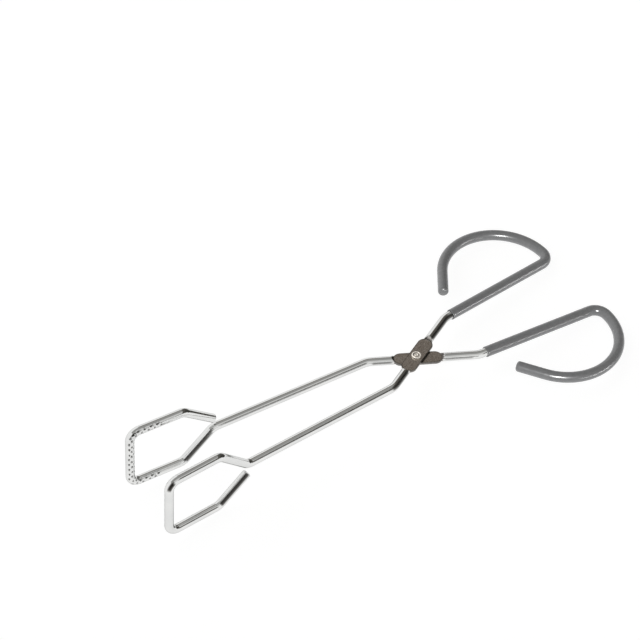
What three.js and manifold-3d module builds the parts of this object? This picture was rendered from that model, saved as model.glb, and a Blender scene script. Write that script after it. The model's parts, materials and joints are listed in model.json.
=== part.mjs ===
// Lab tongs: two identical halves bent from round steel rod, crossed on one rivet.
// Millimetres, +Z up. +X runs from the jaws to the handles. The tongs lie on a table
// at z = 0, resting on both finger loops and the underside of one jaw loop.

import * as THREE from 'three';
import { mergeVertices } from 'three/addons/utils/BufferGeometryUtils.js';
import Module from 'manifold-3d';

const wasm = await Module();
wasm.setup();

// Rod and the flat pressed into it where the two halves cross.
const ROD_DIAMETER = 4.76;
const ROD_RADIUS = ROD_DIAMETER / 2;
const ROD_LIFT = 0.8; // centreline of a half above the plane where the halves meet
const FLAT_WIDTH = 8.5;
const FLAT_THICKNESS = 1.4;
const FLAT_TO_HANDLE = 14.2; // rivet to the rounded end of the flat
const FLAT_TO_JAW = 12.4;
const FLAT_SHOULDER = 1.1; // length over which the round rod steps down to the flat
const FLAT_CLEAR = 4; // from the rivet, past its head, the flat is plain

// Bending schedule of one half, starting at the rivet.
const CROSSING = 26.9; // from the X axis to the straight through the rivet
const HANDLE_SHANK = 34; // rivet to the corner where the grip starts
const ARM_SHANK = 26.5; // rivet to the corner where the arm starts
const SHANK_BEND = 11;
const GRIP_ANGLE = 4.5; // grip straight, opening away from the X axis
const ARM_ANGLE = 2.4; // arm, opening away from the X axis
const ARM_LENGTH = 94.3;
const JAW_ANGLE = 3.1;

// Finger loop: a round bow closed by the grip straight and left open beside it.
const LOOP_CENTRE = new THREE.Vector2(76.8, 27.6);
const LOOP_RADIUS = 31.2;
const LOOP_CORNER = 7;
const LOOP_END_ANGLE = 145; // where the bow runs into its straight tail
const LOOP_TAIL = 14;

// Jaw loop: a flat hexagon standing on edge, centre to centre of the rod.
const JAW_SLOPE_RUN = 17.7;
const JAW_LENGTH = 48.4;
const JAW_TOP = 17.5; // above the plane where the halves meet
const JAW_BOTTOM = -19.4;
const JAW_END_RISE = 13.7; // climb of the free end back towards the arm
const JAW_CORNER = 5.5;
const JAW_SLOPE_BEND = 6;

// Vinyl grip over the handle.
const GRIP_RADIUS = 2.97;
const GRIP_BORE_RADIUS = 2.42;
const GRIP_START = 4.2; // from the handle corner along the straight
const GRIP_END_CAP = 1.2; // vinyl past the end of the rod

// Rivet, formed over on both sides.
const SHANK_RADIUS = 1.6;
const HOLE_RADIUS = 1.66;
const HEAD_RADIUS = 2.6;
const HEAD_HEIGHT = 0.8;
const DIMPLE_RADIUS = 0.75;
const DIMPLE_DEPTH = 0.3;
const GAP = 0.1; // between faces that bear on each other

// How the tongs lie: tilts that bring both finger loops and a jaw down to the table.
const PITCH = 4.25;
const ROLL = -1.53;

const SECTION_SIDES = 16;
const BEND_STEP = 15; // largest turn between two sections

const radians = THREE.MathUtils.degToRad;
const UP = new THREE.Vector3(0, 0, 1);

// One section of a bent rod: where it is, which way the rod runs, which way is its side.
class Pen {
  constructor(position, heading, side) {
    this.position = position.clone();
    this.heading = heading.clone();
    this.side = side.clone();
    this.sections = [];
    this.mark();
  }

  mark() {
    this.sections.push({
      position: this.position.clone(),
      heading: this.heading.clone(),
      side: this.side.clone(),
    });
    return this;
  }

  straight(length) {
    this.position.addScaledVector(this.heading, length);
    return this.mark();
  }

  // Turn about an axis through the centre of the bend, right-handed.
  bend(axis, radius, degrees, step = BEND_STEP) {
    const toCentre = axis.clone().cross(this.heading);
    toCentre.multiplyScalar(radius * Math.sign(degrees));
    const centre = this.position.clone().add(toCentre);
    const count = Math.max(2, Math.ceil(Math.abs(degrees) / step));
    const turn = radians(degrees) / count;
    for (let i = 0; i < count; i += 1) {
      this.position.sub(centre).applyAxisAngle(axis, turn).add(centre);
      this.heading.applyAxisAngle(axis, turn);
      this.side.applyAxisAngle(axis, turn);
      this.mark();
    }
    return this;
  }
}

// Curve through the sections of a bent rod, with one sweep step between neighbours.
class BentRod extends THREE.Curve {
  constructor(sections) {
    super();
    this.sections = sections;
  }

  getUtoTmapping(u) {
    return u;
  }

  getPoint(t) {
    const place = t * (this.sections.length - 1);
    const index = Math.min(Math.floor(place), this.sections.length - 2);
    const from = this.sections[index].position;
    const to = this.sections[index + 1].position;
    return from.clone().lerp(to, place - index);
  }

  computeFrenetFrames() {
    return {
      tangents: this.sections.map((s) => s.heading),
      normals: this.sections.map((s) => s.side),
      binormals: this.sections.map((s) => s.heading.clone().cross(s.side)),
    };
  }
}

function sweep(sections, radius) {
  const circle = new THREE.Shape();
  for (let i = 0; i < SECTION_SIDES; i += 1) {
    const angle = (2 * Math.PI * (i + 0.5)) / SECTION_SIDES;
    const x = radius * Math.cos(angle);
    const y = radius * Math.sin(angle);
    if (i === 0) circle.moveTo(x, y);
    else circle.lineTo(x, y);
  }
  circle.closePath();
  return new THREE.ExtrudeGeometry(circle, {
    steps: sections.length - 1,
    extrudePath: new BentRod(sections),
  });
}

function toManifold(geometry) {
  const bare = geometry.clone();
  bare.deleteAttribute('normal');
  bare.deleteAttribute('uv');
  const merged = mergeVertices(bare, 1e-5);
  const mesh = new wasm.Mesh({
    numProp: 3,
    vertProperties: new Float32Array(merged.attributes.position.array),
    triVerts: new Uint32Array(merged.index.array),
  });
  return new wasm.Manifold(mesh);
}

function toGeometry(solid) {
  const mesh = solid.getMesh();
  const geometry = new THREE.BufferGeometry();
  geometry.setAttribute('position', new THREE.BufferAttribute(mesh.vertProperties, 3));
  geometry.setIndex(new THREE.BufferAttribute(mesh.triVerts, 1));
  geometry.computeVertexNormals();
  return geometry;
}

// Length a bend takes off each of the two straights it joins.
function setback(radius, degrees) {
  return radius * Math.tan(radians(Math.abs(degrees)) / 2);
}

const crossing = radians(CROSSING);
const alongShank = new THREE.Vector3(Math.cos(crossing), Math.sin(crossing), 0);
const acrossShank = new THREE.Vector3(-Math.sin(crossing), Math.cos(crossing), 0);
const rivetPoint = new THREE.Vector3(0, 0, ROD_LIFT);

// Sections through the pressed flat, closer together round its end and over the shoulder.
function shank(pen, flatEnd, length) {
  const fromEnd = [FLAT_WIDTH / 2, 2.6, 1.5, 0.8, 0.4, 0, -0.35, -0.7, -FLAT_SHOULDER];
  const stops = fromEnd.map((distance) => flatEnd - distance);
  let reached = 0;
  for (const stop of [FLAT_CLEAR, ...stops, length]) {
    pen.straight(stop - reached);
    reached = stop;
  }
}

// Handle side: shank, grip straight, corner, bow and tail.
function handlePen() {
  const pen = new Pen(rivetPoint, alongShank, acrossShank);
  const turnIn = GRIP_ANGLE - CROSSING;
  const shankSetback = setback(SHANK_BEND, turnIn);
  shank(pen, FLAT_TO_HANDLE, HANDLE_SHANK - shankSetback);
  pen.bend(UP, SHANK_BEND, turnIn);

  const grip = radians(GRIP_ANGLE);
  const along = new THREE.Vector2(Math.cos(grip), Math.sin(grip));
  const inward = new THREE.Vector2(-along.y, along.x);
  const start = new THREE.Vector2(HANDLE_SHANK * Math.cos(crossing), HANDLE_SHANK * Math.sin(crossing));
  const toCentre = LOOP_CENTRE.clone().sub(start);
  const offset = toCentre.dot(inward) - LOOP_CORNER;
  const reach = Math.sqrt((LOOP_RADIUS - LOOP_CORNER) ** 2 - offset ** 2);
  const straight = toCentre.dot(along) + reach;
  pen.straight(GRIP_START - shankSetback);
  const gripIndex = pen.sections.length - 1;
  pen.straight(straight - GRIP_START);

  const cornerTurn = 90 - THREE.MathUtils.radToDeg(Math.atan2(offset, reach));
  pen.bend(UP, LOOP_CORNER, cornerTurn);
  const bowTurn = LOOP_END_ANGLE + 90 - GRIP_ANGLE - cornerTurn;
  pen.bend(UP, LOOP_RADIUS, bowTurn, 12);
  pen.straight(LOOP_TAIL);
  return { pen, gripIndex };
}

// Jaw side: shank, arm, then once round the hexagon to the free end.
function jawPen() {
  const pen = new Pen(rivetPoint, alongShank.clone().negate(), acrossShank);
  const turnIn = ARM_ANGLE - CROSSING;
  const shankSetback = setback(SHANK_BEND, turnIn);
  shank(pen, FLAT_TO_JAW, ARM_SHANK - shankSetback);
  pen.bend(UP, SHANK_BEND, turnIn);

  const rise = THREE.MathUtils.radToDeg(Math.atan2(JAW_TOP - ROD_LIFT, JAW_SLOPE_RUN));
  const slopeLength = Math.hypot(JAW_TOP - ROD_LIFT, JAW_SLOPE_RUN);
  const slopeSetback = setback(JAW_SLOPE_BEND, rise);
  pen.straight(ARM_LENGTH - shankSetback - slopeSetback);

  const jaw = radians(JAW_ANGLE);
  const jawSide = new THREE.Vector3(Math.sin(jaw), -Math.cos(jaw), 0);
  const twist = radians(JAW_ANGLE - ARM_ANGLE);
  pen.heading.applyAxisAngle(UP, twist);
  pen.side.applyAxisAngle(UP, twist);
  pen.bend(jawSide, JAW_SLOPE_BEND, -rise);
  pen.straight(slopeLength - 2 * slopeSetback);
  pen.bend(jawSide, JAW_SLOPE_BEND, rise);

  const cornerSetback = setback(JAW_CORNER, 90);
  pen.straight(JAW_LENGTH - JAW_SLOPE_RUN - slopeSetback - cornerSetback);
  pen.bend(jawSide, JAW_CORNER, 90);
  pen.straight(JAW_TOP - JAW_BOTTOM - 2 * cornerSetback);
  pen.bend(jawSide, JAW_CORNER, 90);

  const climb = THREE.MathUtils.radToDeg(Math.atan2(JAW_END_RISE, JAW_SLOPE_RUN));
  const climbSetback = setback(JAW_SLOPE_BEND, climb);
  pen.straight(JAW_LENGTH - JAW_SLOPE_RUN - cornerSetback - climbSetback);
  pen.bend(jawSide, JAW_SLOPE_BEND, climb);
  pen.straight(Math.hypot(JAW_END_RISE, JAW_SLOPE_RUN) - climbSetback);
  return pen;
}

// Squeezes the round rod to the round-ended flat where the halves cross. The metal spreads
// sideways as far as the outline of the flat; the shoulder follows its ends.
function pressFlat(geometry) {
  const positions = geometry.attributes.position;
  const point = new THREE.Vector3();
  const halfWidth = FLAT_WIDTH / 2;
  const flatBottom = GAP / 2;
  const flatTop = flatBottom + FLAT_THICKNESS;
  for (let i = 0; i < positions.count; i += 1) {
    point.fromBufferAttribute(positions, i);
    const along = point.dot(alongShank);
    const across = point.dot(acrossShank);
    const end = along > 0 ? FLAT_TO_HANDLE : FLAT_TO_JAW;
    const intoEnd = Math.max(Math.abs(along) - (end - halfWidth), 0);
    const outline = Math.sqrt(Math.max(halfWidth ** 2 - intoEnd ** 2, 0));
    const stretch = Math.max(outline, ROD_RADIUS) / ROD_RADIUS;
    const outside = Math.hypot(intoEnd, across * stretch) - halfWidth;
    const pressed = THREE.MathUtils.clamp(1 - outside / FLAT_SHOULDER, 0, 1);
    if (pressed > 0) {
      const top = THREE.MathUtils.lerp(ROD_LIFT + ROD_RADIUS, flatTop, pressed);
      const bottom = THREE.MathUtils.lerp(ROD_LIFT - ROD_RADIUS, flatBottom, pressed);
      point.addScaledVector(acrossShank, across * (stretch - 1));
      point.z = THREE.MathUtils.clamp(point.z, bottom, top);
      positions.setXYZ(i, point.x, point.y, point.z);
    }
  }
}

const handle = handlePen();
const jawSections = jawPen().sections.slice(1).reverse();
for (const section of jawSections) section.heading.negate();
const rodSections = [...jawSections, ...handle.pen.sections];

function rodGeometry() {
  const swept = sweep(rodSections, ROD_RADIUS);
  pressFlat(swept);
  const drill = new THREE.CylinderGeometry(HOLE_RADIUS, HOLE_RADIUS, 12, 24);
  drill.rotateX(Math.PI / 2);
  return toGeometry(toManifold(swept).subtract(toManifold(drill)));
}

// The sleeve follows the handle past the end of the rod, where a dome closes it.
function gripGeometry() {
  const covered = handle.pen.sections.slice(handle.gripIndex);
  const last = covered[covered.length - 1];
  const outer = sweep(covered, GRIP_RADIUS);

  const dome = new THREE.LatheGeometry(domeProfile(), SECTION_SIDES);
  dome.rotateY(Math.PI / SECTION_SIDES);
  const frame = new THREE.Matrix4();
  frame.makeBasis(last.side, last.heading, last.side.clone().cross(last.heading));
  frame.setPosition(last.position);
  dome.applyMatrix4(frame);

  const bore = covered.map((section) => ({ ...section }));
  bore[0].position = bore[0].position.clone().addScaledVector(bore[0].heading, -1);
  const end = bore[bore.length - 1];
  end.position = end.position.clone().addScaledVector(end.heading, GAP);
  const shell = toManifold(outer).add(toManifold(dome));
  return toGeometry(shell.subtract(toManifold(sweep(bore, GRIP_BORE_RADIUS))));
}

// Quarter ellipse from the sleeve's side to its tip, closed a little inside the sleeve.
function domeProfile() {
  const inside = 0.5;
  const steps = 5;
  const points = [new THREE.Vector2(0, -inside), new THREE.Vector2(GRIP_RADIUS, -inside)];
  for (let i = 0; i < steps; i += 1) {
    const angle = (Math.PI / 2) * (i / steps);
    const x = GRIP_RADIUS * Math.cos(angle);
    points.push(new THREE.Vector2(x, (GRIP_RADIUS * 0.6 + GRIP_END_CAP) * Math.sin(angle)));
  }
  points.push(new THREE.Vector2(0, GRIP_RADIUS * 0.6 + GRIP_END_CAP));
  return points;
}

// Solid rivet, the same head formed on both ends, each with a small centre dimple.
function rivetGeometry() {
  const seat = GAP / 2 + FLAT_THICKNESS + GAP;
  const top = seat + HEAD_HEIGHT;
  const half = [
    new THREE.Vector2(SHANK_RADIUS, seat),
    new THREE.Vector2(HEAD_RADIUS, seat),
    new THREE.Vector2(HEAD_RADIUS, seat + HEAD_HEIGHT * 0.5),
    new THREE.Vector2(HEAD_RADIUS - 0.25, seat + HEAD_HEIGHT * 0.82),
    new THREE.Vector2(HEAD_RADIUS - 0.75, top),
    new THREE.Vector2(DIMPLE_RADIUS, top),
    new THREE.Vector2(0, top - DIMPLE_DEPTH),
  ];
  const mirrored = half.map((p) => new THREE.Vector2(p.x, -p.y)).reverse();
  const rivet = new THREE.LatheGeometry([...mirrored, ...half], 24);
  rivet.rotateX(Math.PI / 2);
  return toGeometry(toManifold(rivet));
}

function material(color, roughness, metalness) {
  return new THREE.MeshStandardMaterial({ color, roughness, metalness });
}

function mesh(name, geometry, look) {
  const made = new THREE.Mesh(geometry, look);
  made.name = name;
  return made;
}

const rod = rodGeometry();
const grip = gripGeometry();

const upperHalf = new THREE.Group();
upperHalf.add(mesh('upper_rod', rod, material(0xd8dadc, 0.12, 1)));
upperHalf.add(mesh('upper_grip', grip, material(0x6a6a6b, 0.45, 0)));

const lowerHalf = new THREE.Group();
lowerHalf.rotation.x = Math.PI;
lowerHalf.add(mesh('lower_rod', rod.clone(), material(0xd8dadc, 0.12, 1)));
lowerHalf.add(mesh('lower_grip', grip.clone(), material(0x6a6a6b, 0.45, 0)));

const pair = new THREE.Group();
pair.rotation.set(radians(ROLL), radians(PITCH), 0, 'YXZ');
pair.add(upperHalf, lowerHalf);
pair.add(mesh('pivot_rivet', rivetGeometry(), material(0xcfc8ba, 0.25, 1)));

// Set the tongs down on the table with the middle of their box over the origin.
const tongs = new THREE.Group();
tongs.name = 'lab_tongs';
tongs.add(pair);
tongs.updateMatrixWorld(true);
const box = new THREE.Box3().setFromObject(tongs, true);
const middle = box.getCenter(new THREE.Vector3());
pair.position.set(-middle.x, -middle.y, -box.min.z);

export default tongs;
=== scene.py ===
"""Looks of the lab tongs: bent rods, vinyl grips and rivet, on a pale table under soft light.

Lengths are in millimetres inside one half of the tongs and become metres when a mesh is made.
"""
import json
import math

import bpy
from mathutils import Matrix, Vector


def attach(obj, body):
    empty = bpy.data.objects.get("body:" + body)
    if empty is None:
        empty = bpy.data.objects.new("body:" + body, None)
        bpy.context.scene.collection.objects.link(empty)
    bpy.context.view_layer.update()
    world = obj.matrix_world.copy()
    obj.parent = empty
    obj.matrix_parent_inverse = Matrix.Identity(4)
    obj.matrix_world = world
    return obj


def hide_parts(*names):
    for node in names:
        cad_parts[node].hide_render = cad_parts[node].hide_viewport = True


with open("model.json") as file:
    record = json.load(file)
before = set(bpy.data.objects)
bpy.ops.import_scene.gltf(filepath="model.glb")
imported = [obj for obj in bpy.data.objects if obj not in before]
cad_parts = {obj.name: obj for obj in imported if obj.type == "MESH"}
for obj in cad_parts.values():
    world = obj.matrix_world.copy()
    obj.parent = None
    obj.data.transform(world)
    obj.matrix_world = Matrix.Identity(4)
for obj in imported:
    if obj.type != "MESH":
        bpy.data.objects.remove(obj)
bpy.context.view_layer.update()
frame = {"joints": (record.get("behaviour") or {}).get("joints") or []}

# ---------------------------------------------------------------- dimensions
ROD_RADIUS = 2.36
ROD_LIFT = 0.8
END_CHAMFER = 0.35
FLAT_WIDTH = 8.5
FLAT_THICKNESS = 1.4
FLAT_TO_HANDLE = 14.2
FLAT_TO_JAW = 12.4
FLAT_SHOULDER = 1.1
FLAT_RIM = 0.4  # width of the dark rim along the edge of a flat
RIM_SHARE = 0.93  # what the rim counts as, where 1 is fully pressed
FINE_BEFORE = 5.0  # closely spaced sections start this far before the end of a flat
FINE_AFTER = 1.4
GAP = 0.1

CROSSING = math.radians(26.9)
HANDLE_SHANK = 34.0
ARM_SHANK = 26.5
SHANK_BEND = 11.0
GRIP_ANGLE = math.radians(4.5)
ARM_ANGLE = math.radians(2.4)
ARM_LENGTH = 94.3
JAW_ANGLE = math.radians(3.1)

LOOP_CENTRE = Vector((76.8, 27.6))
LOOP_RADIUS = 31.2
LOOP_CORNER = 7.0
LOOP_END_ANGLE = math.radians(145)
LOOP_TAIL = 14.0

JAW_SLOPE_RUN = 17.7
JAW_LENGTH = 48.4
JAW_TOP = 17.5
JAW_BOTTOM = -19.4
JAW_END_RISE = 13.7
JAW_CORNER = 5.5
JAW_SLOPE_BEND = 6.0

GRIP_RADIUS = 2.94
GRIP_BORE = 2.42
GRIP_START = 4.2
UPPER_CAP = 3.3  # vinyl past the end of the rod
LOWER_CAP = 1.9
CAP_CORNER = 1.5  # rounding of the closed end
CAP_DOME = 0.2  # rise of the end face from its rim to its middle

SHANK_RADIUS = 1.6
HOLE_RADIUS = 1.66
HEAD_RADIUS = 2.6
HEAD_HEIGHT = 0.8
HEAD_RIM = 0.42  # height of the straight rim of a head
HEAD_ROUND = 0.62  # how far in the rounding of the rim reaches
HEAD_RISE = 0.5

TOOTH_PITCH = 3.7
TOOTH_RADIUS = 0.66
TOOTH_DEPTH = 0.45
TOOTH_BURR = 0.08  # height of the metal pushed up around a dent
BURR_WIDTH = 0.6  # as a share of the dent's radius
# painted shade inside a punched dent, at its deepest
TOOTH_SHADE = 0.9
TOOTH_DRIFT = 0.16  # uneven punching along the rod, as a share of the pitch
TOOTH_TURN = 0.3  # and around it, as a share of the angle between rows
TOOTH_ROW = math.radians(37)  # angle between the rows around the rod
TOOTH_RUN = 12.0  # toothed length of the rails above and below the front bar

# Painted shade on the plating: dark streaks along one side of the rod that stand in for dark reflections
# and the shadow of the tongs on the table. Each gives where it starts and ends along the rod from
# the rivet (jaw side negative), the angle of its middle and its half width in degrees, and how dark.
STREAK_FADE = 1.2  # length over which a streak fades in and out
UPPER_SHADE_STREAKS = [(14.6, 39.5, 142, 32, 0.9), (-29.0, -12.8, 142, 32, 0.9), (-118.0, -27.0, 131, 10, 0.35),
                 (-261.0, -238.8, -141, 33, 0.95), (-177.4, -172.2, 136, 32, 1.0), (12.6, 16.0, 105, 52, 0.7)]
LOWER_SHADE_STREAKS = [(14.6, 31.0, -14, 17, 0.5), (-24.5, -12.8, -14, 17, 0.7), (-118.0, -27.0, -36, 13, 0.42),
                 (-143.6, -122.0, -25, 31, 0.92)]

# fineness of the meshes: sides around, and spacing of the sections along
ROD_SIDES = 64
GRIP_SIDES = 48
SHANK_STEP = 0.8
FLAT_END_STEP = 0.16
TOOTH_STEP = 0.22
CORNER_STEP = math.radians(2.3)

PITCH = math.radians(4.25)  # the lie of the pair on the table
ROLL = math.radians(-1.53)

UP = Vector((0, 0, 1))
ALONG = Vector((math.cos(CROSSING), math.sin(CROSSING), 0))
ACROSS = Vector((-math.sin(CROSSING), math.cos(CROSSING), 0))
RIVET = Vector(frame["joints"][0]["pos_m"])
LYING = Matrix.Translation(RIVET) @ Matrix.Rotation(PITCH, 4, "Y") @ Matrix.Rotation(ROLL, 4, "X")
UPPER = LYING @ Matrix.Scale(0.001, 4)
LOWER = LYING @ Matrix.Rotation(math.pi, 4, "X") @ Matrix.Scale(0.001, 4)


# ---------------------------------------------------------------- bent rod
class Pen:
    """Draws a bent rod as sections: position, heading, side, and how far along it has come."""

    def __init__(self, position, heading, side):
        self.position, self.heading, self.side = position.copy(), heading.copy(), side.copy()
        self.length = 0.0
        self.sections = []
        self.mark()

    def mark(self):
        self.sections.append((self.position.copy(), self.heading.copy(), self.side.copy(), self.length))

    def straight(self, length, step=4.0):
        count = max(1, math.ceil(length / step))
        for _ in range(count):
            self.position += self.heading * (length / count)
            self.length += length / count
            self.mark()

    def bend(self, axis, radius, angle, step=math.radians(4)):
        to_centre = axis.cross(self.heading) * radius * (1 if angle > 0 else -1)
        centre = self.position + to_centre
        count = max(2, math.ceil(abs(angle) / step))
        turn = Matrix.Rotation(angle / count, 3, axis)
        for _ in range(count):
            self.position = centre + turn @ (self.position - centre)
            self.heading = turn @ self.heading
            self.side = turn @ self.side
            self.length += radius * abs(angle) / count
            self.mark()


def setback(radius, angle):
    return radius * math.tan(abs(angle) / 2)


def shank(pen, flat_end, length):
    pen.straight(flat_end - FINE_BEFORE, SHANK_STEP)
    pen.straight(FINE_BEFORE + FINE_AFTER, FLAT_END_STEP)
    pen.straight(length - flat_end - FINE_AFTER, SHANK_STEP)


def handle_pen():
    pen = Pen(Vector((0, 0, ROD_LIFT)), ALONG, ACROSS)
    turn_in = GRIP_ANGLE - CROSSING
    back = setback(SHANK_BEND, turn_in)
    shank(pen, FLAT_TO_HANDLE, HANDLE_SHANK - back)
    pen.bend(UP, SHANK_BEND, turn_in)
    along = Vector((math.cos(GRIP_ANGLE), math.sin(GRIP_ANGLE)))
    inward = Vector((-along.y, along.x))
    to_centre = LOOP_CENTRE - Vector((HANDLE_SHANK * ALONG.x, HANDLE_SHANK * ALONG.y))
    offset = to_centre.dot(inward) - LOOP_CORNER
    reach = math.sqrt((LOOP_RADIUS - LOOP_CORNER) ** 2 - offset ** 2)
    pen.straight(GRIP_START - back)
    grip_start = len(pen.sections) - 1
    pen.straight(to_centre.dot(along) + reach - GRIP_START)
    corner = math.pi / 2 - math.atan2(offset, reach)
    pen.bend(UP, LOOP_CORNER, corner)
    pen.bend(UP, LOOP_RADIUS, LOOP_END_ANGLE + math.pi / 2 - GRIP_ANGLE - corner, math.radians(3))
    pen.straight(LOOP_TAIL)
    return pen, grip_start


def jaw_pen():
    """Jaw side of a half, and the stretch of it that carries teeth."""
    pen = Pen(Vector((0, 0, ROD_LIFT)), -ALONG, ACROSS)
    turn_in = ARM_ANGLE - CROSSING
    back = setback(SHANK_BEND, turn_in)
    shank(pen, FLAT_TO_JAW, ARM_SHANK - back)
    pen.bend(UP, SHANK_BEND, turn_in)
    rise = math.atan2(JAW_TOP - ROD_LIFT, JAW_SLOPE_RUN)
    slope_back = setback(JAW_SLOPE_BEND, rise)
    pen.straight(ARM_LENGTH - back - slope_back)
    jaw_side = Vector((math.sin(JAW_ANGLE), -math.cos(JAW_ANGLE), 0))
    twist = Matrix.Rotation(JAW_ANGLE - ARM_ANGLE, 3, UP)
    pen.heading, pen.side = twist @ pen.heading, twist @ pen.side
    pen.bend(jaw_side, JAW_SLOPE_BEND, -rise)
    pen.straight(math.hypot(JAW_TOP - ROD_LIFT, JAW_SLOPE_RUN) - 2 * slope_back)
    pen.bend(jaw_side, JAW_SLOPE_BEND, rise)
    corner_back = setback(JAW_CORNER, math.pi / 2)
    pen.straight(JAW_LENGTH - JAW_SLOPE_RUN - slope_back - corner_back - TOOTH_RUN)
    toothed_from = pen.length
    pen.straight(TOOTH_RUN, TOOTH_STEP)
    pen.bend(jaw_side, JAW_CORNER, math.pi / 2, CORNER_STEP)
    pen.straight(JAW_TOP - JAW_BOTTOM - 2 * corner_back, TOOTH_STEP)
    pen.bend(jaw_side, JAW_CORNER, math.pi / 2, CORNER_STEP)
    pen.straight(TOOTH_RUN, TOOTH_STEP)
    toothed_to = pen.length
    climb = math.atan2(JAW_END_RISE, JAW_SLOPE_RUN)
    climb_back = setback(JAW_SLOPE_BEND, climb)
    pen.straight(JAW_LENGTH - JAW_SLOPE_RUN - corner_back - climb_back - TOOTH_RUN)
    pen.bend(jaw_side, JAW_SLOPE_BEND, climb)
    pen.straight(math.hypot(JAW_END_RISE, JAW_SLOPE_RUN) - climb_back)
    return pen, toothed_from, toothed_to


def pressed(point):
    """Where a point of the round rod ends up in the pressed flat, and how far it is pressed."""
    along = point.dot(ALONG)
    across = point.dot(ACROSS)
    half_width = FLAT_WIDTH / 2
    end = FLAT_TO_HANDLE if along > 0 else FLAT_TO_JAW
    into_end = max(abs(along) - (end - half_width), 0.0)
    outline = math.sqrt(max(half_width ** 2 - into_end ** 2, 0.0))
    stretch = max(outline, ROD_RADIUS) / ROD_RADIUS
    outside = math.hypot(into_end, across * stretch) - half_width
    share = min(max(1 - outside / FLAT_SHOULDER, 0.0), 1.0)
    if share == 0:
        return point, 0.0
    flat_bottom = GAP / 2
    flat_top = flat_bottom + FLAT_THICKNESS
    top = (ROD_LIFT + ROD_RADIUS) * (1 - share) + flat_top * share
    bottom = (ROD_LIFT - ROD_RADIUS) * (1 - share) + flat_bottom * share
    moved = point + ACROSS * across * (stretch - 1)
    moved.z = min(max(moved.z, bottom), top)
    return moved, min(share, RIM_SHARE) if outside > -FLAT_RIM else share


def tooth(length, angle, toothed_from, toothed_to):
    """Depth of the punched teeth and how deep inside one this point is, 0 to 1.

    Three staggered rows run along the side that faces the other jaw.
    """
    nearest = 9.0
    for row in (-1, 0, 1):
        shift = 0.5 * TOOTH_PITCH * (row % 2)
        index = round((length - toothed_from - shift) / TOOTH_PITCH)
        chance = (math.sin(12.9898 * index + 78.233 * row) * 43758.5453) % 1
        centre = toothed_from + shift + (index + TOOTH_DRIFT * (chance - 0.5)) * TOOTH_PITCH
        if toothed_from <= centre <= toothed_to:
            around = ROD_RADIUS * (angle - (row + TOOTH_TURN * (chance * 7 % 1 - 0.5)) * TOOTH_ROW)
            size = TOOTH_RADIUS * (0.8 + 0.35 * (chance * 3 % 1))
            nearest = min(nearest, math.hypot(0.85 * (length - centre), around) / size)
    if nearest < 1:
        return TOOTH_DEPTH * (1 - nearest ** 2), 1 - nearest ** 3
    if nearest < 1 + BURR_WIDTH:
        return -TOOTH_BURR * math.sin((nearest - 1) / BURR_WIDTH * math.pi), 0.0
    return 0.0, 0.0


def swept(name, sections, radius_at, sides, place, shape=None):
    """Mesh swept through the sections, its ends closed; radius_at(section index, length, angle)."""
    points, faces, painted_shade, flat = [], [], [], []
    for i, (position, heading, side, length) in enumerate(sections):
        lift = heading.cross(side)
        for k in range(sides):
            angle = 2 * math.pi * k / sides
            r, shade_amount = radius_at(i, length, angle)
            point = position + (side * math.cos(angle) + lift * math.sin(angle)) * r
            point, pressing = shape(point) if shape else (point, 0.0)
            points.append(point)
            flat.append(pressing)
            painted_shade.append(shade_amount)
    for i in range(len(sections) - 1):
        for k in range(sides):
            a, b = i * sides + k, i * sides + (k + 1) % sides
            faces.append((a, b, b + sides, a + sides))
    faces.append(tuple(reversed(range(sides))))
    faces.append(tuple((len(sections) - 1) * sides + k for k in range(sides)))
    mesh = bpy.data.meshes.new(name)
    mesh.from_pydata([place @ p for p in points], [], faces)
    # this attribute holds painted shade per point: dark streaks, dent insides and rivet recesses
    mesh.attributes.new("painted_shade", "FLOAT", "POINT").data.foreach_set("value", painted_shade)
    mesh.attributes.new("flat", "FLOAT", "POINT").data.foreach_set("value", flat)
    obj = bpy.data.objects.new(name, mesh)
    bpy.context.scene.collection.objects.link(obj)
    return obj


def smooth(obj, degrees):
    for polygon in obj.data.polygons:
        polygon.use_smooth = True
    obj.data.set_sharp_from_angle(angle=math.radians(degrees))


HANDLE, GRIP_INDEX = handle_pen()
JAW, TOOTHED_FROM, TOOTHED_TO = jaw_pen()


def rod_sections():
    jaw = [(p, -h, s, -l) for p, h, s, l in reversed(JAW.sections[1:])]
    return jaw + HANDLE.sections


def shade_streak(length, angle, shade_streaks):
    """How much painted shade the plating gets here, 0 to 1: dark streaks along one side of the rod that stand
    in for dark reflections and shadow.
    """
    dark = 0.0
    for start, end, centre, spread, depth in shade_streaks:
        turned = math.degrees(math.remainder(angle - math.radians(centre), 2 * math.pi))
        share = max(0.0, 1 - (turned / spread) ** 4) * min(max((length - start) / STREAK_FADE, 0.0), 1.0)
        dark = max(dark, depth * share * min(max((end - length) / STREAK_FADE, 0.0), 1.0))
    return dark


def make_rod(name, place, shade_streaks):
    sections = rod_sections()
    first, last = sections[0][3], sections[-1][3]

    def radius_at(_, length, angle):
        edge = min(length - first, last - length)
        radius = ROD_RADIUS - END_CHAMFER * max(0.0, 1 - edge / END_CHAMFER)
        # painted shade: the dark streaks, and below the darkening inside the dents
        depth, shade_amount = 0.0, shade_streak(length, angle, shade_streaks)
        if -TOOTHED_TO - 1 <= length <= -TOOTHED_FROM + 1:
            turned = math.remainder(angle, 2 * math.pi)
            depth, inside = tooth(-length, turned, TOOTHED_FROM, TOOTHED_TO)
            # the dents get painted shade, darkest at their middle
            shade_amount = max(shade_amount, TOOTH_SHADE * inside)
        return radius - depth, shade_amount

    start = sections[0]
    inset = [(start[0] + start[1] * d, start[1], start[2], start[3] + d) for d in (0.1, 0.2, 0.35, 0.6)]
    sections = [start, *inset, *sections[1:]]
    obj = swept(name, sections, radius_at, ROD_SIDES, place, pressed)
    drill_hole(obj, place)
    smooth(obj, 50)
    return obj


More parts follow.
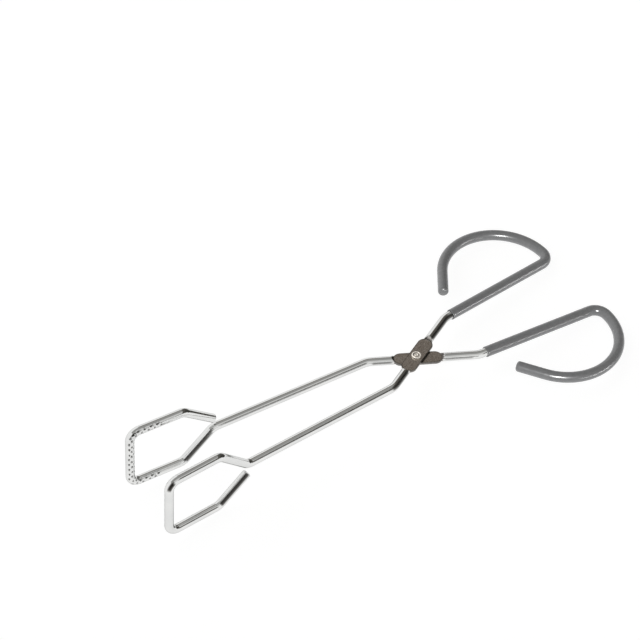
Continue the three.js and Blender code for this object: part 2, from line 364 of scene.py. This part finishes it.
def drill_hole(obj, place):
    points, faces = [], []
    sides = 48
    for z in (-6, 6):
        for k in range(sides):
            angle = 2 * math.pi * k / sides
            points.append(place @ Vector((HOLE_RADIUS * math.cos(angle), HOLE_RADIUS * math.sin(angle), z)))
    for k in range(sides):
        n = (k + 1) % sides
        faces.append((k, n, sides + n, sides + k))
    faces.append(tuple(reversed(range(sides))))
    faces.append(tuple(range(sides, 2 * sides)))
    mesh = bpy.data.meshes.new("drill")
    mesh.from_pydata(points, [], faces)
    drill = bpy.data.objects.new("drill", mesh)
    bpy.context.scene.collection.objects.link(drill)
    cut = obj.modifiers.new("hole", "BOOLEAN")
    cut.operation = "DIFFERENCE"
    cut.object = drill
    cut.solver = "EXACT"
    apply_modifiers(obj)
    bpy.data.objects.remove(drill)


def apply_modifiers(obj):
    depsgraph = bpy.context.evaluated_depsgraph_get()
    mesh = bpy.data.meshes.new_from_object(obj.evaluated_get(depsgraph))
    obj.modifiers.clear()
    obj.data = mesh


def make_grip(name, place, cap):
    """Sleeve: a short way inside the bore, over the rolled lip, along the handle, round the tip."""
    covered = HANDLE.sections[GRIP_INDEX:]
    position, heading, side, length = covered[0]
    lip = [(3.0, GRIP_BORE), (0.25, GRIP_BORE), (0.05, GRIP_BORE + 0.08), (0.0, GRIP_BORE + 0.2),
           (0.0, GRIP_RADIUS - 0.14), (0.04, GRIP_RADIUS - 0.05), (0.14, GRIP_RADIUS),
           (0.6, GRIP_RADIUS), (1.1, GRIP_RADIUS - 0.06), (2.2, GRIP_RADIUS - 0.04)]
    stations = [((position + heading * d, heading, side, length + d), r) for d, r in lip]
    stations += [(s, GRIP_RADIUS - 0.02) for s in covered[2:]]
    position, heading, side, length = covered[-1]
    radius = GRIP_RADIUS - 0.02
    tip = [((cap - CAP_CORNER) * 0.5, radius)]
    for i in range(1, 12):
        a = math.pi / 2 * i / 12
        tip.append((cap - CAP_DOME - CAP_CORNER * (1 - math.sin(a)), radius - CAP_CORNER * (1 - math.cos(a))))
    tip += [(cap - 0.17, 1.1), (cap - 0.08, 0.7), (cap - 0.02, 0.3)]
    stations += [((position + heading * d, heading, side, length + d), r) for d, r in tip]
    radii = [r for _, r in stations]
    obj = swept(name, [s for s, _ in stations], lambda i, *_: (radii[i], 0.0), GRIP_SIDES, place)
    smooth(obj, 60)
    return obj


def make_rivet(name):
    """Rivet as a lathed outline: each head has a rounded rim, a ring groove and a dimpled button."""
    seat = GAP / 2 + FLAT_THICKNESS + GAP
    top = seat + HEAD_HEIGHT
    profile = [(SHANK_RADIUS, 0), (SHANK_RADIUS, seat), (HEAD_RADIUS - 0.12, seat),
               (HEAD_RADIUS, seat + 0.14), (HEAD_RADIUS, seat + HEAD_RIM)]
    for i in range(1, 9):
        a = math.pi / 2 * i / 8
        profile.append((HEAD_RADIUS - HEAD_ROUND + HEAD_ROUND * math.cos(a),
                        seat + HEAD_RIM + HEAD_RISE * math.sin(a)))
    groove = [(1.72, 0.22), (1.52, 0.36), (1.36, 0.34), (1.2, 0.16)]
    button = [(0.95, 0.05), (0.7, 0.03), (0.5, 0.1), (0.34, 0.28), (0.18, 0.36), (0.0, 0.38)]
    profile += [(r, top - depth) for r, depth in groove + button]
    outline = [(r, -z) for r, z in reversed(profile[1:])] + profile[1:]
    sides = 64
    points, faces = [], []
    for r, z in outline[1:-1]:
        for k in range(sides):
            a = 2 * math.pi * k / sides
            points.append(UPPER @ Vector((r * math.cos(a), r * math.sin(a), z)))
    rings = len(outline) - 2
    for i in range(rings - 1):
        for k in range(sides):
            n = (k + 1) % sides
            faces.append((i * sides + k, i * sides + n, (i + 1) * sides + n, (i + 1) * sides + k))
    bottom, upper = len(points), len(points) + 1
    points += [UPPER @ Vector((0, 0, outline[0][1])), UPPER @ Vector((0, 0, outline[-1][1]))]
    for k in range(sides):
        n = (k + 1) % sides
        faces.append((bottom, n, k))
        faces.append((upper, (rings - 1) * sides + k, (rings - 1) * sides + n))
    mesh = bpy.data.meshes.new(name)
    mesh.from_pydata(points, [], faces)
    # painted shade: the ring groove, the dimple and the middle of each head are darkened
    recess_shade = [0.75 if 1.1 < r < 1.75 else 0.6 if r < 0.4 else 0.0 for r, _ in outline[1:-1]]
    painted_shade = [shade_amount for shade_amount in recess_shade for _ in range(sides)]
    mesh.attributes.new("painted_shade", "FLOAT", "POINT").data.foreach_set("value", painted_shade + [0.7, 0.7])
    obj = bpy.data.objects.new(name, mesh)
    bpy.context.scene.collection.objects.link(obj)
    smooth(obj, 70)
    return obj


# ---------------------------------------------------------------- materials
def new_material(name):
    material = bpy.data.materials.new(name)
    material.use_nodes = True
    nodes = material.node_tree.nodes
    nodes.clear()
    output = nodes.new("ShaderNodeOutputMaterial")
    shader = nodes.new("ShaderNodeBsdfPrincipled")
    material.node_tree.links.new(shader.outputs["BSDF"], output.inputs["Surface"])
    return material, nodes, material.node_tree.links, shader


def noise(nodes, links, scale, detail, roughness=0.5):
    coordinates = nodes.new("ShaderNodeTexCoord")
    texture = nodes.new("ShaderNodeTexNoise")
    texture.inputs["Scale"].default_value = scale
    texture.inputs["Detail"].default_value = detail
    texture.inputs["Roughness"].default_value = roughness
    links.new(coordinates.outputs["Object"], texture.inputs["Vector"])
    return texture.outputs["Fac"]


def attribute(nodes, name):
    node = nodes.new("ShaderNodeAttribute")
    node.attribute_name = name
    return node.outputs["Fac"]


def mixed(nodes, links, factor, first, second, blend="MIX"):
    """Colour between two others; each input is a socket or a constant."""
    node = nodes.new("ShaderNodeMix")
    node.data_type = "RGBA"
    node.blend_type = blend
    for index, value in ((0, factor), (6, first), (7, second)):
        if isinstance(value, float):
            node.inputs[index].default_value = value
        elif isinstance(value, tuple):
            node.inputs[index].default_value = (*value, 1)
        else:
            links.new(value, node.inputs[index])
    return node.outputs[2]


def multiply_add(nodes, links, value, factor, base):
    node = nodes.new("ShaderNodeMath")
    node.operation = "MULTIPLY_ADD"
    links.new(value, node.inputs[0])
    node.inputs[1].default_value = factor
    links.new(base, node.inputs[2])
    return node.outputs[0]


def ramp(nodes, links, source, stops):
    node = nodes.new("ShaderNodeValToRGB")
    elements = node.color_ramp.elements
    while len(elements) < len(stops):
        elements.new(0.5)
    for element, (place, colour) in zip(elements, stops):
        element.position = place
        element.color = (*colour, 1) if isinstance(colour, tuple) else (colour, colour, colour, 1)
    links.new(source, node.inputs["Fac"])
    return node.outputs["Color"]


def bump(nodes, links, height, strength, distance):
    node = nodes.new("ShaderNodeBump")
    node.inputs["Strength"].default_value = strength
    node.inputs["Distance"].default_value = distance
    links.new(height, node.inputs["Height"])
    return node


def chrome():
    """Plated rod: painted shade in the teeth and streaks, and satin metal with dark edges on the flats."""
    material, nodes, links, shader = new_material("bright_chrome")
    shader.inputs["Metallic"].default_value = 1.0
    # painted shade at grazing angles: the grey specular tint dims the rod's edges, standing in for the
    # reflection of the shaded table just under the tongs
    shader.inputs["Specular Tint"].default_value = (0.72, 0.72, 0.72, 1)
    painted_shade, flat = attribute(nodes, "painted_shade"), attribute(nodes, "flat")
    plating = ramp(nodes, links, noise(nodes, links, 90, 4),
                   [(0.3, (0.73, 0.735, 0.73)), (0.7, (0.80, 0.80, 0.79))])
    satin = ramp(nodes, links, noise(nodes, links, 1300, 5, 0.65),
                 [(0.3, (0.44, 0.41, 0.38)), (0.7, (0.84, 0.79, 0.74))])
    edge = ramp(nodes, links, flat, [(0.0, 1.0), (0.55, 1.0), (0.85, 0.25), (0.999, 0.4), (1.0, 1.0)])
    # painted shade: the plating is darkened to near black in the streaks and the dents
    shaded_plating = mixed(nodes, links, painted_shade, plating, (0.06, 0.056, 0.05))
    pressed_metal = mixed(nodes, links, flat, shaded_plating, satin)
    links.new(mixed(nodes, links, 1.0, pressed_metal, edge, "MULTIPLY"), shader.inputs["Base Color"])
    haze = ramp(nodes, links, noise(nodes, links, 400, 6, 0.6), [(0.35, 0.05), (0.75, 0.11)])
    rough = multiply_add(nodes, links, flat, 0.12, multiply_add(nodes, links, painted_shade, 0.3, haze))
    links.new(rough, shader.inputs["Roughness"])
    wave = bump(nodes, links, noise(nodes, links, 260, 3), 0.10, 0.0002)
    grain = bump(nodes, links, noise(nodes, links, 2600, 3), 0.06, 0.0001)
    links.new(wave.outputs["Normal"], grain.inputs["Normal"])
    links.new(grain.outputs["Normal"], shader.inputs["Normal"])
    return material


def nickel():
    """Warm bright rivet metal, with painted shade in the ring groove and the dimple."""
    material, nodes, links, shader = new_material("warm_nickel")
    shader.inputs["Metallic"].default_value = 0.55
    clean = ramp(nodes, links, noise(nodes, links, 900, 4),
                 [(0.3, (0.92, 0.86, 0.77)), (0.7, (1.0, 0.95, 0.87))])
    # painted shade: a near-black brown mixed in where the groove and dimple are shaded
    recess_shade = mixed(nodes, links, attribute(nodes, "painted_shade"), clean, (0.12, 0.09, 0.07))
    links.new(recess_shade, shader.inputs["Base Color"])
    haze = ramp(nodes, links, noise(nodes, links, 1500, 5), [(0.3, 0.34), (0.7, 0.48)])
    links.new(haze, shader.inputs["Roughness"])
    dents = bump(nodes, links, noise(nodes, links, 1200, 3), 0.25, 0.0001)
    links.new(dents.outputs["Normal"], shader.inputs["Normal"])
    return material


def vinyl():
    """Smooth grey vinyl with a soft sheen."""
    material, nodes, links, shader = new_material("grey_vinyl")
    tint = ramp(nodes, links, noise(nodes, links, 160, 4),
                [(0.3, (0.266, 0.268, 0.274)), (0.7, (0.286, 0.288, 0.295))])
    links.new(tint, shader.inputs["Base Color"])
    sheen = ramp(nodes, links, noise(nodes, links, 500, 5), [(0.3, 0.23), (0.7, 0.31)])
    links.new(sheen, shader.inputs["Roughness"])
    shader.inputs["IOR"].default_value = 1.4
    skin = bump(nodes, links, noise(nodes, links, 1500, 3), 0.09, 0.0001)
    links.new(skin.outputs["Normal"], shader.inputs["Normal"])
    return material


def table_top():
    """Pale table that glows, so that it stays almost white and still takes a faint shadow."""
    material, nodes, links, shader = new_material("pale_table")
    tint = ramp(nodes, links, noise(nodes, links, 8, 3), [(0.3, 0.24), (0.7, 0.26)])
    links.new(tint, shader.inputs["Base Color"])
    shader.inputs["Emission Color"].default_value = (1, 1, 1, 1)
    shader.inputs["Emission Strength"].default_value = 0.88
    shader.inputs["Roughness"].default_value = 0.9
    shader.inputs["Specular IOR Level"].default_value = 0.1
    return material


CHROME, NICKEL, VINYL = chrome(), nickel(), vinyl()


def dress(obj, material, body, node):
    obj.data.materials.clear()
    obj.data.materials.append(material)
    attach(obj, body)
    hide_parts(node)


dress(make_rod("upper_rod_bent", UPPER, UPPER_SHADE_STREAKS), CHROME, "upper_half", "upper_rod")
dress(make_rod("lower_rod_bent", LOWER, LOWER_SHADE_STREAKS), CHROME, "lower_half", "lower_rod")
dress(make_grip("upper_grip_sleeve", UPPER, UPPER_CAP), VINYL, "upper_half", "upper_grip")
dress(make_grip("lower_grip_sleeve", LOWER, LOWER_CAP), VINYL, "lower_half", "lower_grip")
dress(make_rivet("pivot_rivet_formed"), NICKEL, "lower_half", "pivot_rivet")


# ---------------------------------------------------------------- table, light, camera
TABLE_SIZE = 6
TABLE_DROP = 0.0001  # keeps the table clear of the lowest point of the tongs

bpy.ops.mesh.primitive_plane_add(size=TABLE_SIZE, location=(0, 0, -TABLE_DROP))
table = bpy.context.object
table.name = "table_top"
table.data.materials.append(table_top())


def direction(azimuth, elevation):
    a, e = math.radians(azimuth), math.radians(elevation)
    return Vector((math.cos(a) * math.cos(e), math.sin(a) * math.cos(e), math.sin(e)))


class Sky:
    """Light tent around the table, written as patches of brightness by direction."""

    def __init__(self):
        world = bpy.data.worlds.new("light_tent")
        bpy.context.scene.world = world
        world.use_nodes = True
        self.nodes, self.links = world.node_tree.nodes, world.node_tree.links
        self.nodes.clear()
        coordinates = self.nodes.new("ShaderNodeTexCoord")
        split = self.nodes.new("ShaderNodeSeparateXYZ")
        self.links.new(coordinates.outputs["Generated"], split.inputs["Vector"])
        self.x, self.y, self.z = (split.outputs[i] for i in range(3))
        self.colour = None

    def math(self, operation, a, b=0.0):
        node = self.nodes.new("ShaderNodeMath")
        node.operation = operation
        for socket, value in zip(node.inputs, (a, b)):
            if isinstance(value, (int, float)):
                socket.default_value = value
            else:
                self.links.new(value, socket)
        return node.outputs[0]

    def step(self, value, low, high):
        node = self.nodes.new("ShaderNodeMapRange")
        node.interpolation_type = "SMOOTHSTEP"
        self.links.new(value, node.inputs["Value"])
        node.inputs["From Min"].default_value = low
        node.inputs["From Max"].default_value = high
        return node.outputs["Result"]

    def between(self, value, low, high, soft):
        rise = self.step(value, low - soft, low + soft)
        fall = self.step(value, high - soft, high + soft)
        return self.math("MULTIPLY", rise, self.math("SUBTRACT", 1.0, fall))

    def all(self, *masks):
        result = masks[0]
        for mask in masks[1:]:
            result = self.math("MULTIPLY", result, mask)
        return result

    def paint(self, colour, mask=None):
        if self.colour is None:
            node = self.nodes.new("ShaderNodeRGB")
            node.outputs[0].default_value = (*colour, 1)
            self.colour = node.outputs[0]
            return
        self.colour = mixed(self.nodes, self.links, mask, self.colour, colour)

    def finish(self):
        background = self.nodes.new("ShaderNodeBackground")
        output = self.nodes.new("ShaderNodeOutputWorld")
        self.links.new(self.colour, background.inputs["Color"])
        self.links.new(background.outputs["Background"], output.inputs["Surface"])


sky = Sky()
azimuth = sky.math("MULTIPLY", sky.math("ARCTAN2", sky.y, sky.x), 180 / math.pi)
elevation = sky.math("MULTIPLY", sky.math("ARCSINE", sky.z), 180 / math.pi)
HORIZON = 0.02  # least height of a direction, so that the two divisions below stay finite
over_x = sky.math("DIVIDE", sky.x, sky.math("MAXIMUM", sky.z, HORIZON))
over_y = sky.math("DIVIDE", sky.y, sky.math("MAXIMUM", sky.z, HORIZON))
WHITE = (1.0, 1.0, 1.0)
PANEL = (0.34, 0.34, 0.33)
SILVER = (0.70, 0.70, 0.69)
BROWN = (0.19, 0.165, 0.14)
SHADE = (0.10, 0.095, 0.085)
BLACK = (0.045, 0.045, 0.04)
sky.paint(WHITE)
# roof panel, lighter towards the near side
sky.paint(SILVER, sky.all(sky.between(over_x, -0.9, 0.74, 0.05), sky.between(over_y, -1.7, 0.62, 0.1)))
sky.paint(PANEL, sky.all(sky.between(over_x, -0.9, 0.74, 0.05), sky.between(over_y, -0.42, 0.62, 0.12)))
# the open end of the tent, past the handles
sky.paint(BROWN, sky.all(sky.between(over_x, 0.4, 1.2, 0.05), sky.between(over_y, 0.6, 1.1, 0.05)))
sky.paint(SHADE, sky.all(sky.between(over_x, 0.74, 9.0, 0.06), sky.between(over_y, -3.0, 0.8, 0.15)))
sky.paint(SHADE, sky.all(sky.between(azimuth, -36, 48, 3), sky.between(elevation, -6, 36, 2)))
sky.paint(BLACK, sky.all(sky.between(azimuth, -34, 6, 5), sky.between(elevation, 2, 34, 4)))
# the dark room behind the camera
sky.paint(BLACK, sky.all(sky.between(azimuth, -152, -110, 4), sky.between(elevation, -10, 47, 2)))
sky.paint(BLACK, sky.all(sky.between(azimuth, -150, -92, 4), sky.between(elevation, -10, 12, 3)))
sky.finish()


LAMP_DISTANCE = 1.6


def lamp(name, azimuth, elevation, size, size_y, power, receivers, diffuse):
    """Soft box that lights only the named pieces."""
    light = bpy.data.lights.new(name, "AREA")
    light.shape = "RECTANGLE"
    light.size, light.size_y = size, size_y
    light.energy = power
    box = bpy.data.objects.new(name, light)
    bpy.context.scene.collection.objects.link(box)
    way = direction(azimuth, elevation)
    box.location = way * LAMP_DISTANCE
    box.rotation_euler = way.to_track_quat("Z", "Y").to_euler()
    box.visible_diffuse = diffuse
    box.light_linking.receiver_collection = bpy.data.collections.new(name)
    for receiver in receivers:
        box.light_linking.receiver_collection.objects.link(bpy.data.objects[receiver])


GRIPS = ("upper_grip_sleeve", "lower_grip_sleeve")
lamp("front_strip", -62, 3, 1.5, 0.22, 26.0, GRIPS, False)
lamp("key_window", -122, 41, 0.28, 0.14, 80.0, GRIPS, False)
lamp("rivet_fill", 150, 62, 0.7, 0.7, 9.0, ("pivot_rivet_formed",), True)

LENS = 134.82
CAMERA_FROM_RIVET = Vector((-0.51367, -0.6568, 0.96233))
VIEW_AZIMUTH, VIEW_ELEVATION = math.radians(-34.517), math.radians(48.246)

camera_data = bpy.data.cameras.new("camera")
camera_data.sensor_width = 36
camera_data.lens = LENS
camera_data.clip_start = 0.05
camera = bpy.data.objects.new("camera", camera_data)
bpy.context.scene.collection.objects.link(camera)
back = Vector((math.sin(VIEW_AZIMUTH) * math.cos(VIEW_ELEVATION),
               -math.cos(VIEW_AZIMUTH) * math.cos(VIEW_ELEVATION), math.sin(VIEW_ELEVATION)))
right = Vector((math.cos(VIEW_AZIMUTH), math.sin(VIEW_AZIMUTH), 0))
up = back.cross(right)
turned = Matrix((right, up, back)).transposed().to_4x4()
camera.matrix_world = Matrix.Translation(RIVET + CAMERA_FROM_RIVET) @ turned
bpy.context.scene.camera = camera

bpy.context.scene.view_settings.view_transform = "Standard"
bpy.context.scene.view_settings.look = "None"
